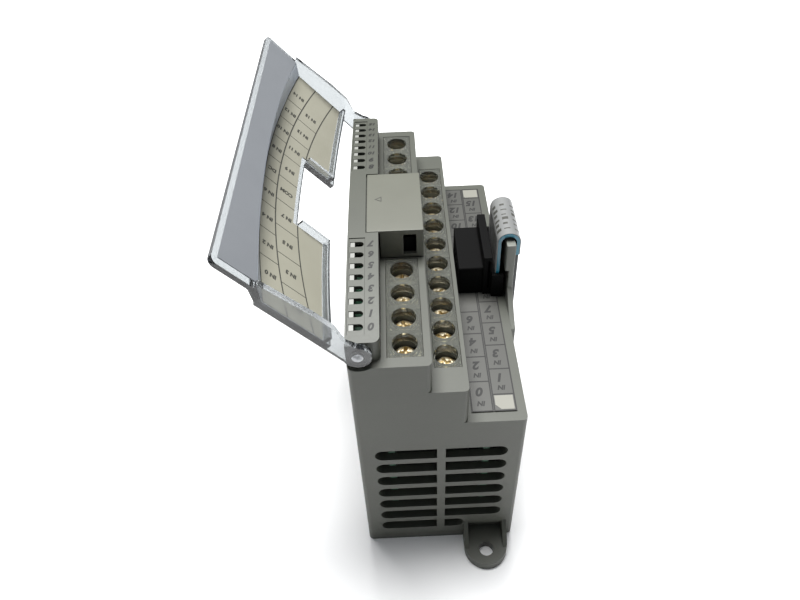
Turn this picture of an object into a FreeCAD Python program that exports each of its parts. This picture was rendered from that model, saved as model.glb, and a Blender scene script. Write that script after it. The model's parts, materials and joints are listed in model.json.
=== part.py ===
import FreeCAD, Part
import math
import os

V = FreeCAD.Vector
os.makedirs("parts", exist_ok=True)

# Input module for a DIN rail or a panel. Millimetres, +Z away from the panel.
# The origin is the centre of the base, midway along the rail channel.
# +X points to the cable side, -Y to the end with the low channel numbers.

# ---- overall case
width = 40.4
length = 90.0
height = 87.0
face_bow = 3.1
case_wall = 1.5
base_wall = 2.0
seam_z = 50.0
gap = 0.1
corner_r = 1.2

# ---- stepped front, measured from the left side and up from the base
strip_w = 7.3
upper_w = 18.1
lower_w = 26.4
rim_z = 77.9
step_z = 68.3
shelf_z = 56.2
strip_inset = 1.8
strip_r = 1.5
strip_hollow = 9.0

# ---- terminals
pitch = 7.62
upper_first = 6.5
lower_margin = 6.0
upper_screw_x = 12.5
lower_screw_x = 21.9
upper_well = (8.5, 16.5)
lower_well = (18.9, 25.4)
barrier = 1.4
pocket_wall = 0.4
pocket_depth = 7.0
base_depth = 13.0
guard_t = 1.4
guard_drop = 0.1
guard_hole_r = 2.85
collar_wall = 0.6
collar_h = 1.1
screw_head_r = 2.4
screw_head_h = 2.0
screw_shank_r = 1.5
screw_shank_len = 5.5
recess_len = 3.2
recess_w = 0.7
recess_depth = 1.1
screw_edge_r = 0.5
screw_hole_fit = 0.05
tab_t = 0.8
clamp_t = 0.9
clamp_r = 0.6
tab_leg_w = 2.5
tab_leg_in = 0.4
tab_leg_below = 3.0
terminal_board_margin = 1.0
entry_w = 5.4
entry_h = 3.4
entry_top = 3.2
entry_extra = 0.5

# ---- status lights
led_pitch = 3.41
led_first = 15.3
led_end_room = 5.4
panel_x = (0.4, 4.2)
panel_t = 1.0
panel_drop = 0.2
panel_margin = 2.0
slot_w = 1.6
slot_x = (0.7, 3.9)
pipe_len_x = 1.0
led_board_z = 77.2
board_t = 1.6
led_size = (1.0, 1.4, 0.8)

# ---- expansion port and its lift-off cover
port_x = (4.5, 18.1)
port_half = 11.4
cover_wall = 1.2
cover_gap = 0.25
cover_flange_t = 0.8
cover_slot_w = 3.1
cover_slot_h = 6.2
cover_slot_off = 1.8
cover_slot_below = 1.5
shroud_x = (9.1, 16.5)
shroud_half = 9.6
shroud_wall = 1.1
shroud_top = 83.0
shroud_floor = 2.0
shroud_depth = 10.5
shroud_hole_below = 5.0
pin_pitch = 2.0
pin_rows = 2
pin_cols = 8
pin_w = 0.5
pin_up = 4.5
pin_down = 2.5

# ---- door, drawn shut: s runs from the hinge across the face
pivot_x = 2.6
pivot_z = 81.2
disc_r = 3.0
disc_gap = 1.2
hinge_pin_r = 1.2
hinge_fit = 0.06
hinge_pin_in = 2.0
hinge_bore = 2.5
door_open_deg = 130.5
door_t = 1.3
door_first = 6.1
fold_end = 24.8
fold_mid = 28.4
ramp_run = 4.0
door_reach = 38.2
lip_top = 0.3
lip_t = 1.2
lip_corner_r = 1.5
door_side_t = 1.4
# the outline of an end wall, as how far along from the hinge and how far below it
door_side_line = ((0, -2.8), (25.3, -2.8), (28.0, 0.3), (28.5, 1.9), (15.5, 2.9), (9.5, 2.9), (5.0, 1.4),
                  (1.5, 2.4))
door_end_gap = 0.15
notch_reach = 16.3
notch_half = 12.1
rim_first = 7.5
rim_t = 0.9
rim_depth = 1.8
card_t = 0.25
card_gap = 0.05
card_margin = 1.2

# ---- vents in the end walls
vent_top = 43.5
vent_pitch = 5.95
vent_rows = 7
vent_h = 4.0
vent_x = (4.0, 19.2, 21.3, 36.5)
far_vent_rows = 6

# ---- rail channel, latch and mounting ears
rail_w = 35.0
rail_clear = 0.4
channel_depth = 8.0
channel_roof = 3.0
lip_reach = 1.4
lip_z = (3.2, 5.8)
latch_x = -4.0
latch_w = 14.0
latch_z = (3.2, 5.8)
latch_clear = 0.3
latch_tab = 4.5
latch_window = 9.0
latch_web = 1.8
latch_run = 3.6
latch_bevel = 1.6
latch_stop_t = 1.5
tool_half = 3.0
tool_y = (1.4, 2.8)
spring_r = 0.9
spring_wire = 0.25
spring_turns = 7
ear_x = 12.3
ear_w = 11.8
ear_len = 10.0
ear_t = 3.0
ear_hole_r = 2.0
ear_hole_off = 5.6
ear_rib_t = 1.2
ear_rib_z = 8.0
ear_rib_len = 5.5
ear_pocket_deep = 1.2

# ---- cable, plug and guide on the right-hand side
cable_t = 0.9
cable_y = (-4.6, 10.5)
cable_side_in = 2.4
cable_bend_r = 2.35
cable_top_z = 75.2
cable_entry_z = 51.6
cable_entry_r = 2.0
cable_start_z = 58.0
film_t = 0.3
film_low_z = 66.5
guide_t = 1.5
guide_head = 2.4
guide_y = (-6.8, 12.0)
guide_top = 75.9
guide_low = 45.0
guide_neck_z = 67.0
guide_shoulder_z = 61.0
guide_foot_z = (56.8, 54.2)
guide_flare = (5.0, 9.0)
guide_fit = 0.02
window_fit = 0.3
window_rise = 0.9
plug_x = (27.7, 34.2)
plug_y = (-4.0, 12.9)
plug_top = 66.0
plug_r = 0.5
plug_cover_top = 70.0
plug_cover_x = 36.4
plug_cover_over = 0.6
cover_notch = (1.1, 1.7)
cover_notch_in = 0.4
cover_notch_z = (2.0, 1.5)
clip_t = 1.1
clip_top = 64.5
clip_y = (-5.6, 14.5)
plug_pitch = 2.0
plug_cols = 8
contact_w = 0.7
contact_set = 0.5
contact_deep = 4.0
label_x = (27.4, 38.2)
label_y_margin = 2.6
label_t = 0.3

# ---- circuit boards inside
logic_x = 7.2
input_x = 31.0
board_low = 14.0
logic_top = 63.0
input_top = 53.0
board_end_gap = 1.2
link_half = 10.0
link_z = (44.0, 47.0)
capacitor_r = 4.0
capacitor_h = 11.0
capacitor_z = 24.0
capacitor_ys = (-26.0, -15.0, 22.0)
chip_t = 1.6
chip_half = 6.0
chip_z = (28.0, 40.0)
chip_end_room = 11.0
chip_near_y = -2.0
coupler_t = 2.2
coupler_half = (2.3, 3.2)
coupler_pitch = 9.0
coupler_cols = 8
coupler_rows = (22.0, 34.0)

half_len = length / 2
left = -width / 2
cable_rise_x = width - cable_side_in
upper_count = int((half_len - port_half - upper_first + pitch / 2) / pitch)
lower_count = int((length - 2 * lower_margin) / pitch)
led_count = int((half_len - led_first - led_end_room) / led_pitch) + 1
bow_r = (half_len ** 2 + face_bow ** 2) / (2 * face_bow)
tier_edges = ((width, shelf_z), (lower_w, step_z), (upper_w, rim_z))


def X(from_left):
    return left + from_left


def box(x0, x1, y0, y1, z0, z1):
    return Part.makeBox(x1 - x0, y1 - y0, z1 - z0, V(x0, y0, z0))


def rod(r, h, at, axis):
    return Part.makeCylinder(r, h, at, axis)


def face_z(y, drop=0.0):
    return height - bow_r + math.sqrt(bow_r ** 2 - y ** 2) - drop


def bowed_block(x0, x1, y0, y1, z0, drop=0.0):
    """A block whose top follows the bow of the front face, lowered by drop."""
    mid = (y0 + y1) / 2
    low_a = V(x0, y0, z0)
    low_b = V(x0, y1, z0)
    top_a = V(x0, y0, face_z(y0, drop))
    top_b = V(x0, y1, face_z(y1, drop))
    crown = Part.Arc(top_b, V(x0, mid, face_z(mid, drop)), top_a).toShape()
    sides = [Part.makeLine(top_a, low_a), Part.makeLine(low_a, low_b), Part.makeLine(low_b, top_b)]
    wire = Part.Wire(Part.__sortEdges__(sides + [crown]))
    return Part.Face(wire).extrude(V(x1 - x0, 0, 0))


def prism_xz(points, y0, y1):
    wire = Part.makePolygon([V(x, y0, z) for x, z in points + points[:1]])
    return Part.Face(wire).extrude(V(0, y1 - y0, 0))


def prism_yz(points, x0, x1):
    wire = Part.makePolygon([V(x0, y, z) for y, z in points + points[:1]])
    return Part.Face(wire).extrude(V(x1 - x0, 0, 0))


def fuse(shapes):
    whole = shapes[0].fuse(shapes[1:]) if len(shapes) > 1 else shapes[0]
    return whole.removeSplitter()


def rounded(shape, radius, wanted):
    """Fillet the straight edges that the test picks."""
    edges = [e for e in shape.Edges if wanted(e)]
    return shape.makeFillet(radius, edges) if edges else shape


def upright(edge):
    span = edge.BoundBox
    return span.XLength < 1e-6 and span.YLength < 1e-6 and span.ZLength > 0.5


def save(name, shape):
    solids = shape.Solids
    for solid in solids:
        if not solid.isValid():
            print("not valid:", name)
    whole = Part.makeCompound(solids) if len(solids) > 1 else solids[0]
    whole.exportStep("parts/" + name + ".step")
    print(name, len(solids), "solids", round(sum(s.Volume for s in solids), 1), "mm3")


# ---------------------------------------------------------------- positions
near_upper = [-half_len + upper_first + i * pitch for i in range(upper_count)]
far_upper = [-y for y in reversed(near_upper)]
lower_ys = [(i - (lower_count - 1) / 2) * pitch for i in range(lower_count)]
far_leds = [led_first + i * led_pitch for i in range(led_count)]
near_leds = [-y for y in reversed(far_leds)]


# ---------------------------------------------------------------- rear case
def vent_cutter(rows, y0, y1, blocked):
    cuts = []
    for row in range(rows):
        z = vent_top - row * vent_pitch
        half = vent_h / 2
        x0, x1, x2, x3 = [X(v) for v in vent_x]
        if row == blocked:
            x3 = ear_x - ear_w / 2
        cuts.append(box(x0 + half, x1, y0, y1, z - half, z + half))
        cuts.append(rod(half, y1 - y0, V(x0 + half, y0, z), V(0, 1, 0)))
        cuts.append(box(x2, x3 - half, y0, y1, z - half, z + half))
        cuts.append(rod(half, y1 - y0, V(x3 - half, y0, z), V(0, 1, 0)))
    return fuse(cuts)


def ear(sign):
    """A mounting ear with a raised rib along each side."""
    r = ear_w / 2
    y_in = sign * (half_len - gap)
    y_round = sign * (half_len + ear_len - r)
    low, high = sorted((y_in, y_round))
    plate = box(ear_x - r, ear_x + r, low, high, 0, ear_t)
    plate = plate.fuse(rod(r, ear_t, V(ear_x, y_round, 0), V(0, 0, 1)))
    y_wall = sign * half_len
    y_tip = sign * (half_len + ear_rib_len)
    y_root = y_wall - sign * gap
    slope = [(y_root, 0), (y_tip, 0), (y_tip, ear_t), (y_wall, ear_rib_z), (y_root, ear_rib_z)]
    ribs = [prism_yz(slope, x, x + ear_rib_t) for x in (ear_x - r, ear_x + r - ear_rib_t)]
    ribs = [rib.common(rod(r, ear_rib_z, V(ear_x, y_round, 0), V(0, 0, 1)).fuse(
        box(ear_x - r, ear_x + r, low, high, 0, ear_rib_z))) for rib in ribs]
    whole = fuse([plate] + ribs)
    hole = rod(ear_hole_r, ear_t + 2, V(ear_x, sign * (half_len + ear_hole_off), -1), V(0, 0, 1))
    return whole.cut(hole)


def rear_case():
    channel_half = rail_w / 2 + rail_clear
    block_in = channel_half + base_wall
    inner_y = half_len - base_wall
    right = -left
    body = box(left, right, -half_len, half_len, 0, seam_z)
    body = rounded(body, corner_r, upright)
    roof = channel_depth + channel_roof
    latch_roof = latch_z[1] + latch_clear + base_wall
    body = body.cut(box(left + base_wall, right - base_wall, -inner_y, inner_y, roof, seam_z + 1))
    body = body.cut(box(left + base_wall, right - base_wall, -inner_y, -block_in, base_wall + 1, roof))
    body = body.cut(box(left + base_wall, right - base_wall, block_in, inner_y, latch_roof, roof))
    body = body.cut(box(left - 1, right + 1, -channel_half, channel_half, -1, channel_depth))
    lip = box(left + base_wall, right - base_wall, -channel_half - gap, -channel_half + lip_reach,
              lip_z[0], lip_z[1])
    body = body.fuse(lip)
    body = body.cut(vent_cutter(vent_rows, -half_len - 1, -inner_y + 1, vent_rows - 1))
    body = body.cut(vent_cutter(far_vent_rows, inner_y - 1, half_len + 1, far_vent_rows))
    slot = box(latch_x - latch_w / 2 - latch_clear, latch_x + latch_w / 2 + latch_clear,
               channel_half - 1, half_len + 1, latch_z[0] - latch_clear, latch_z[1] + latch_clear)
    body = body.cut(slot)
    stop_y = channel_half + base_wall + latch_window
    stop = box(latch_x - spring_r, latch_x + spring_r, stop_y - latch_stop_t, stop_y, latch_z[0] - 1,
               latch_z[1] + 1)
    body = body.fuse(stop)
    pocket_w = ear_w - 2 * ear_rib_t
    for sign in (-1, 1):
        y_face = sign * half_len
        low, high = sorted((y_face - sign * ear_pocket_deep, y_face + sign))
        pocket = box(ear_x - pocket_w / 2, ear_x + pocket_w / 2, low, high, ear_t, ear_rib_z - 1)
        body = body.cut(pocket).fuse(ear(sign))
    return body.removeSplitter()


# ---------------------------------------------------------------- front case
def stepped_block(inset, z0, top_t, y_half):
    blocks = []
    for edge, top in tier_edges:
        blocks.append(box(left + inset, X(edge) - inset, -y_half, y_half, z0, top - top_t))
    return fuse(blocks)


def terminal_well(ys, well, top):
    half = pitch / 2 + gap
    return box(X(well[0]), X(well[1]), ys[0] - half, ys[-1] + half, top - base_depth - board_t, top + 1)


def terminal_wells():
    cuts = []
    for ys in (near_upper, far_upper):
        cuts.append(terminal_well(ys, upper_well, rim_z))
    cuts.append(terminal_well(lower_ys, lower_well, step_z))
    return cuts


def wire_entries():
    cuts = []
    for ys, edge, top in ((near_upper + far_upper, upper_w, rim_z), (lower_ys, lower_w, step_z)):
        for y in ys:
            cuts.append(box(X(edge) - case_wall - entry_extra, X(edge) + 1, y - entry_w / 2, y + entry_w / 2,
                            top - entry_top - entry_h, top - entry_top))
    return cuts


def cover_recess():
    """A shallow seat in the strip for the edge of the port cover."""
    x0 = X(port_x[0]) - cover_gap
    x1 = X(strip_w) + 1
    reach = port_half + cover_gap
    seat = box(x0, x1, -reach, reach, rim_z, height + 1)
    return seat.cut(bowed_block(x0 - 1, x1 + 1, -reach - 1, reach + 1, rim_z - 1, cover_flange_t + gap))


def front_case():
    strip_half = half_len - strip_inset
    body = stepped_block(0, seam_z, 0, half_len)
    body = rounded(body, corner_r, upright)
    strip = bowed_block(left, X(strip_w), -strip_half, strip_half, rim_z - 1)
    strip = rounded(strip, strip_r, lambda e: upright(e) and e.BoundBox.XMin > left + 1)
    body = body.fuse(strip)
    body = body.cut(stepped_block(case_wall, seam_z - 1, case_wall, half_len - case_wall))
    body = body.cut(bowed_block(X(panel_x[0]), X(strip_w) - case_wall, -strip_half + case_wall,
                                strip_half - case_wall, rim_z - strip_hollow, case_wall))
    for ys in (near_leds, far_leds):
        body = body.cut(box(X(panel_x[0]), X(panel_x[1]), ys[0] - panel_margin, ys[-1] + panel_margin,
                            rim_z, height + 1))
    for cutter in terminal_wells() + wire_entries():
        body = body.cut(cutter)
    port_hole = box(X(shroud_x[0]) - gap, X(shroud_x[1]) + gap, -shroud_half - gap, shroud_half + gap,
                    rim_z - shroud_hole_below, rim_z + 1)
    body = body.cut(port_hole).cut(cover_recess())
    for sign in (-1, 1):
        start = sign * (half_len - strip_inset)
        seat = rod(disc_r + disc_gap, strip_inset + 1, V(X(pivot_x), start, pivot_z), V(0, sign, 0))
        body = body.cut(seat)
        bore = rod(hinge_pin_r, hinge_bore, V(X(pivot_x), start, pivot_z), V(0, -sign, 0))
        body = body.cut(bore)
    slot = box(width / 2 - case_wall - 1, width / 2 + 1, cable_y[0] - gap, cable_y[1] + gap,
               cable_entry_z - cable_t / 2 - gap, cable_entry_z + cable_t / 2 + gap)
    return body.cut(slot)


# ---------------------------------------------------------------- terminals
def terminal_base(ys, well, screw_x, top):
    x0 = X(well[0]) + gap
    x1 = X(well[1]) - gap
    floor_z = top - pocket_depth
    body = box(x0, x1, ys[0] - pitch / 2, ys[-1] + pitch / 2, top - base_depth,
               top - guard_t - guard_drop - gap)
    cuts = []
    half = (pitch - barrier) / 2
    for y in ys:
        cuts.append(box(x0 + pocket_wall, x1 + 1, y - half, y + half, floor_z, top))
        cuts.append(rod(screw_shank_r + gap, screw_shank_len + 1, V(X(screw_x), y, floor_z - screw_shank_len),
                        V(0, 0, 1)))
        cuts.append(leg_slot(y, well, top - base_depth - 1, floor_z + 1))
    return body.cut(fuse(cuts))


def leg_slot(y, well, z0, z1):
    x1 = X(well[1]) - tab_leg_in
    half = tab_leg_w / 2 + gap
    return box(x1 - tab_t - gap, x1 + gap, y - half, y + half, z0, z1)


def terminal_board(ys, well, top):
    """The small board that the tabs of one terminal block are soldered to."""
    x0 = X(well[0]) - terminal_board_margin
    z1 = top - base_depth
    board = box(x0, X(well[1]) - gap, ys[0] - pitch / 2, ys[-1] + pitch / 2, z1 - board_t, z1)
    return board.cut(fuse([leg_slot(y, well, z1 - board_t - 1, z1 + 1) for y in ys]))


def terminal_tab(y, well, screw_x, top):
    x0 = X(well[0]) + pocket_wall + 2 * gap
    x1 = X(well[1]) - tab_leg_in
    half = (pitch - barrier) / 2 - gap
    floor_z = top - pocket_depth
    plate = box(x0, x1, y - half, y + half, floor_z, floor_z + tab_t)
    leg = box(x1 - tab_t, x1, y - tab_leg_w / 2, y + tab_leg_w / 2, top - base_depth - tab_leg_below,
              floor_z + tab_t)
    hole = rod(screw_shank_r + screw_hole_fit, tab_t + 2, V(X(screw_x), y, floor_z - 1), V(0, 0, 1))
    return plate.fuse(leg).cut(hole).removeSplitter()


def clamp_plate(y, well, screw_x, top):
    x0 = X(well[0]) + pocket_wall + 3 * gap
    x1 = X(well[1]) - tab_leg_in - gap
    half = (pitch - barrier) / 2 - 2 * gap
    z0 = top - pocket_depth + tab_t
    plate = box(x0, x1, y - half, y + half, z0, z0 + clamp_t)
    plate = rounded(plate, clamp_r, upright)
    return plate.cut(rod(screw_shank_r + gap, clamp_t + 2, V(X(screw_x), y, z0 - 1), V(0, 0, 1)))


def terminal_screw(y, screw_x, top):
    z0 = top - pocket_depth + tab_t + clamp_t
    x = X(screw_x)
    head = rod(screw_head_r, screw_head_h, V(x, y, z0), V(0, 0, 1))
    rim = [e for e in head.Edges if e.BoundBox.ZMin > z0 + 1 and e.BoundBox.ZLength < 1e-6]
    head = head.makeFillet(screw_edge_r, rim)
    shank = rod(screw_shank_r, screw_shank_len, V(x, y, z0 - screw_shank_len), V(0, 0, 1))
    screw = head.fuse(shank)
    z_top = z0 + screw_head_h
    long_half = recess_len / 2
    thin_half = recess_w / 2
    for dx, dy in ((long_half, thin_half), (thin_half, long_half)):
        screw = screw.cut(box(x - dx, x + dx, y - dy, y + dy, z_top - recess_depth, z_top + 1))
    return screw


def terminal_guard(ys, well, screw_x, top):
    """A clear strip with a collared screwdriver hole over each screw."""
    x0 = X(well[0]) + gap
    x1 = X(well[1]) - gap
    z1 = top - guard_drop
    z0 = z1 - guard_t
    body = box(x0, x1, ys[0] - pitch / 2, ys[-1] + pitch / 2, z0, z1)
    half = (pitch - barrier) / 2
    for y in ys:
        collar = rod(guard_hole_r + collar_wall, collar_h, V(X(screw_x), y, z0 - collar_h), V(0, 0, 1))
        room = box(x0 + pocket_wall + gap, x1, y - half + gap, y + half - gap, z0 - collar_h, z0)
        body = body.fuse(collar.common(room))
    for y in ys:
        at = V(X(screw_x), y, z0 - collar_h - 1)
        body = body.cut(rod(guard_hole_r, guard_t + collar_h + 2, at, V(0, 0, 1)))
    return body.removeSplitter()


# ---------------------------------------------------------------- status lights
def light_panel(ys):
    y0 = ys[0] - panel_margin + gap
    y1 = ys[-1] + panel_margin - gap
    x0 = X(panel_x[0]) + gap / 2
    x1 = X(panel_x[1]) - gap / 2
    slab = bowed_block(x0, x1, y0, y1, rim_z, panel_drop)
    slab = slab.cut(bowed_block(x0 - 1, x1 + 1, y0 - 1, y1 + 1, rim_z - 1, panel_drop + panel_t))
    for y in ys:
        slot = box(X(slot_x[0]), X(slot_x[1]) - slot_w / 2, y - slot_w / 2, y + slot_w / 2, rim_z, height + 1)
        slot_end = V(X(slot_x[1]) - slot_w / 2, y, rim_z)
        slot = slot.fuse(rod(slot_w / 2, height - rim_z + 1, slot_end, V(0, 0, 1)))
        slab = slab.cut(slot)
    return slab


def light_pipe(y):
    x0 = X(slot_x[0]) + gap
    led_top = led_board_z + board_t + led_size[2]
    return bowed_block(x0, x0 + pipe_len_x, y - slot_w / 2 + gap, y + slot_w / 2 - gap, led_top + gap,
                       panel_drop + gap)


def status_led(y):
    x0 = X(slot_x[0]) + gap
    z0 = led_board_z + board_t
    half = led_size[1] / 2
    return box(x0, x0 + led_size[0], y - half, y + half, z0, z0 + led_size[2])


def light_board():
    reach = far_leds[-1] + panel_margin
    return box(X(panel_x[0]) + gap, X(strip_w) - case_wall - gap, -reach, reach,
               led_board_z, led_board_z + board_t)


# ---------------------------------------------------------------- expansion port
def port_cover():
    x0 = X(port_x[0])
    x1 = X(port_x[1])
    z0 = rim_z + cover_gap
    wall_x = X(strip_w) + cover_gap
    outer = bowed_block(x0, x1, -port_half, port_half, z0)
    outer = outer.cut(bowed_block(x0 - 1, wall_x, -port_half - 1, port_half + 1, z0 - 1, cover_flange_t))
    inner = bowed_block(wall_x + cover_wall, x1 - cover_wall, -port_half + cover_wall,
                        port_half - cover_wall, z0 - 1, cover_wall)
    outer = outer.cut(inner)
    slot_x1 = x1 - cover_slot_off
    slot_z = face_z(port_half) - cover_slot_below
    slot = box(slot_x1 - cover_slot_w, slot_x1, -port_half - 1, -port_half + cover_wall + 1,
               slot_z - cover_slot_h, slot_z)
    return outer.cut(slot).removeSplitter()


def port_shroud():
    x0, x1 = [X(v) for v in shroud_x]
    z0 = shroud_top - shroud_depth
    body = box(x0, x1, -shroud_half, shroud_half, z0, shroud_top)
    room_half = shroud_half - shroud_wall
    body = body.cut(box(x0 + shroud_wall, x1 - shroud_wall, -room_half, room_half,
                        z0 + shroud_floor, shroud_top + 1))
    for x, y in pin_places():
        half = pin_w / 2
        body = body.cut(box(x - half, x + half, y - half, y + half, z0 - 1, z0 + shroud_floor + 1))
    return body


def pin_places():
    mid = X((shroud_x[0] + shroud_x[1]) / 2)
    xs = [mid + (i - (pin_rows - 1) / 2) * pin_pitch for i in range(pin_rows)]
    ys = [(i - (pin_cols - 1) / 2) * pin_pitch for i in range(pin_cols)]
    return [(x, y) for x in xs for y in ys]


def port_pins():
    half = pin_w / 2
    z0 = shroud_top - shroud_depth
    return [box(x - half, x + half, y - half, y + half, z0 - pin_down, z0 + shroud_floor + pin_up)
            for x, y in pin_places()]


# ---------------------------------------------------------------- door
def hinge_turn(shape):
    """Turn a piece drawn shut to where the door stands open."""
    turned = shape.copy()
    turned.rotate(V(X(pivot_x), 0, pivot_z), V(0, -1, 0), door_open_deg)
    return turned


def door_side(sign):
    px = X(pivot_x)
    outer = half_len - door_end_gap
    y0, y1 = sorted((sign * outer, sign * (outer - door_side_t)))
    wall = prism_xz([(px + s, pivot_z - t) for s, t in door_side_line], y0, y1)
    disc = rod(disc_r, door_side_t, V(px, y0, pivot_z), V(0, 1, 0))
    wall = wall.fuse(disc)
    return wall.cut(rod(hinge_pin_r + hinge_fit, door_side_t + 2, V(px, y0 - 1, pivot_z), V(0, 1, 0)))


def fold_at(y):
    """How far from the hinge the face ends and the ramp starts; the fold bows outward."""
    return fold_mid - (fold_mid - fold_end) * (y / half_len) ** 2


def door_section(y, first, drop, low):
    """The outline across the door at one place along it: the face and the ramp down to the lip."""
    fold = fold_at(y)
    foot = fold + ramp_run - drop
    outline = [(first, low), (first, face_z(y, drop)), (fold - drop / 2, face_z(y, drop)),
               (foot, pivot_z + lip_top - drop), (foot, low)]
    return Part.makePolygon([V(X(pivot_x) + s, y, z) for s, z in outline + outline[:1]])


def door_block(reach, first, drop, low):
    stations = [reach * k / 3 for k in range(-3, 4)]
    return Part.makeLoft([door_section(y, first, drop, low) for y in stations], True, False)


def door_rims():
    """Low walls under the face, along the hinge side and both sides of the notch."""
    px = X(pivot_x)
    outer = half_len - door_end_gap
    low = pivot_z - disc_r
    plate = bowed_block(px + rim_first, px + notch_reach, -outer + gap, outer - gap, low, door_t / 2)
    plate = plate.cut(bowed_block(px, px + fold_end, -outer - 1, outer + 1, low - 1, door_t + rim_depth))
    walls = []
    for sign in (-1, 1):
        inner, edge = sorted((sign * notch_half, sign * (notch_half + rim_t)))
        walls.append(box(px + rim_first, px + notch_reach, inner, edge, low, height + 1))
        near, far = sorted((sign * notch_half, sign * outer))
        walls.append(box(px + rim_first, px + rim_first + rim_t, near, far, low, height + 1))
    return plate.common(fuse(walls))


def door_shell():
    px = X(pivot_x)
    outer = half_len - door_end_gap
    lip_z1 = pivot_z + lip_top
    lip_z0 = lip_z1 - lip_t
    slab = door_block(outer, door_first, 0, lip_z0)
    lip = box(px + fold_end, px + door_reach, -outer, outer, lip_z0, lip_z1)
    lip = rounded(lip, lip_corner_r, lambda e: upright(e) and e.BoundBox.XMin > px + door_reach - gap)
    slab = slab.fuse(lip)
    slab = slab.cut(door_block(outer + 1, 0, door_t, lip_z0 - 1))
    slab = slab.cut(box(px, px + notch_reach, -notch_half, notch_half, lip_z0 - 1, height + 1))
    return fuse([slab, door_rims(), door_side(-1), door_side(1)])


def door_card():
    """The printed card that lies against the inside of the face."""
    px = X(pivot_x)
    inner = half_len - door_end_gap - door_side_t - gap
    start = rim_first + rim_t + gap
    x0 = px + start
    slab = door_block(inner, start, door_t + card_gap, pivot_z - 1)
    slab = slab.cut(bowed_block(x0 - 1, px + door_reach, -inner - 1, inner + 1, pivot_z - 2,
                                door_t + card_gap + card_t))
    hole = notch_half + rim_t + gap
    return slab.cut(box(x0 - 1, px + notch_reach + card_margin, -hole, hole, pivot_z - 2, height + 1))


def door_fascia():
    """The grey film on the inside of the lip."""
    px = X(pivot_x)
    inner = half_len - door_end_gap - door_side_t - gap
    z1 = pivot_z + lip_top - lip_t
    film = box(px + fold_end, px + door_reach - card_margin, -inner, inner, z1 - card_t, z1)
    return film.cut(door_block(inner + 1, door_first, 0, z1 - 1))


def hinge_pins():
    pins = []
    for sign in (-1, 1):
        start = V(X(pivot_x), sign * (half_len - strip_inset - hinge_pin_in), pivot_z)
        pins.append(rod(hinge_pin_r, strip_inset + hinge_pin_in - door_end_gap, start, V(0, sign, 0)))
    return pins


# ---------------------------------------------------------------- rail latch
def rail_latch():
    channel_half = rail_w / 2 + rail_clear
    x0 = latch_x - latch_w / 2
    x1 = latch_x + latch_w / 2
    nose_y = channel_half - lip_reach
    body = box(x0, x1, nose_y, half_len + latch_tab, latch_z[0], latch_z[1])
    low = latch_z[0] - 1
    bevel = [(nose_y - 1, latch_z[1] + 1), (nose_y - 1, low), (nose_y + latch_bevel, low)]
    nose = prism_yz(bevel, x0 - 1, x1 + 1)
    body = body.cut(nose)
    tool = box(latch_x - tool_half, latch_x + tool_half, half_len + tool_y[0], half_len + tool_y[1],
               latch_z[0] - 1, latch_z[1] + 1)
    body = body.cut(tool)
    start = channel_half + base_wall
    spring_half = spring_r + latch_clear
    window = box(latch_x - spring_half, latch_x + spring_half, start - latch_web,
                 start + latch_window + latch_run, latch_z[0] - 1, latch_z[1] + 1)
    return body.cut(window)


def latch_spring():
    """A coil pressed between the fixed stop and the latch's front web."""
    start = rail_w / 2 + rail_clear + base_wall - latch_web + spring_wire
    span = latch_window + latch_web - latch_stop_t - 2 * spring_wire
    turn = span / spring_turns
    radius = spring_r - spring_wire
    helix = Part.makeHelix(turn, span, radius)
    ring = Part.Wire(Part.makeCircle(spring_wire, V(radius, 0, 0), V(0, 1, 0)))
    coil = Part.Wire(helix.Edges).makePipeShell([ring], True, True)
    coil.rotate(V(0, 0, 0), V(1, 0, 0), -90)
    coil.translate(V(latch_x, start, (latch_z[0] + latch_z[1]) / 2))
    return coil


# ---------------------------------------------------------------- cable side
def strap(near_side, far_side, low_z):
    """A strip that rises, turns over and drops to the entry slot, between two offsets
    from the middle of the cable."""
    y0, y1 = cable_y
    up = X(cable_rise_x)
    centre = up + cable_bend_r
    down = centre + cable_bend_r
    r0 = cable_bend_r + near_side
    r1 = cable_bend_r + far_side
    across = y1 - y0
    arch = rod(r1, across, V(centre, y0, cable_top_z), V(0, 1, 0))
    arch = arch.cut(rod(r0, across, V(centre, y0, cable_top_z), V(0, 1, 0)))
    arch = arch.cut(box(centre - 2 * r1, centre + 2 * r1, y0, y1, cable_top_z - 2 * r1, cable_top_z))
    turn_z = cable_entry_z + cable_entry_r
    rise = box(up - far_side, up - near_side, y0, y1, low_z, cable_top_z)
    drop = box(down + near_side, down + far_side, y0, y1, turn_z, cable_top_z)
    return [rise, arch, drop]


def ribbon_cable():
    half = cable_t / 2
    y0, y1 = cable_y
    parts = strap(-half, half, cable_start_z)
    down = X(cable_rise_x) + 2 * cable_bend_r
    turn_z = cable_entry_z + cable_entry_r
    middle = V(down - cable_entry_r, y0, turn_z)
    bend = rod(cable_entry_r + half, y1 - y0, middle, V(0, 1, 0)).cut(
        rod(cable_entry_r - half, y1 - y0, middle, V(0, 1, 0)))
    reach = cable_entry_r + cable_t
    bend = bend.common(box(middle.x, middle.x + reach, y0, y1, turn_z - reach, turn_z))
    end_x = X(input_x) + board_t
    run = box(end_x, middle.x, y0, y1, cable_entry_z - half, cable_entry_z + half)
    return fuse(parts + [bend, run])


def cable_film():
    half = cable_t / 2
    return fuse(strap(half, half + film_t, film_low_z))


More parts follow.
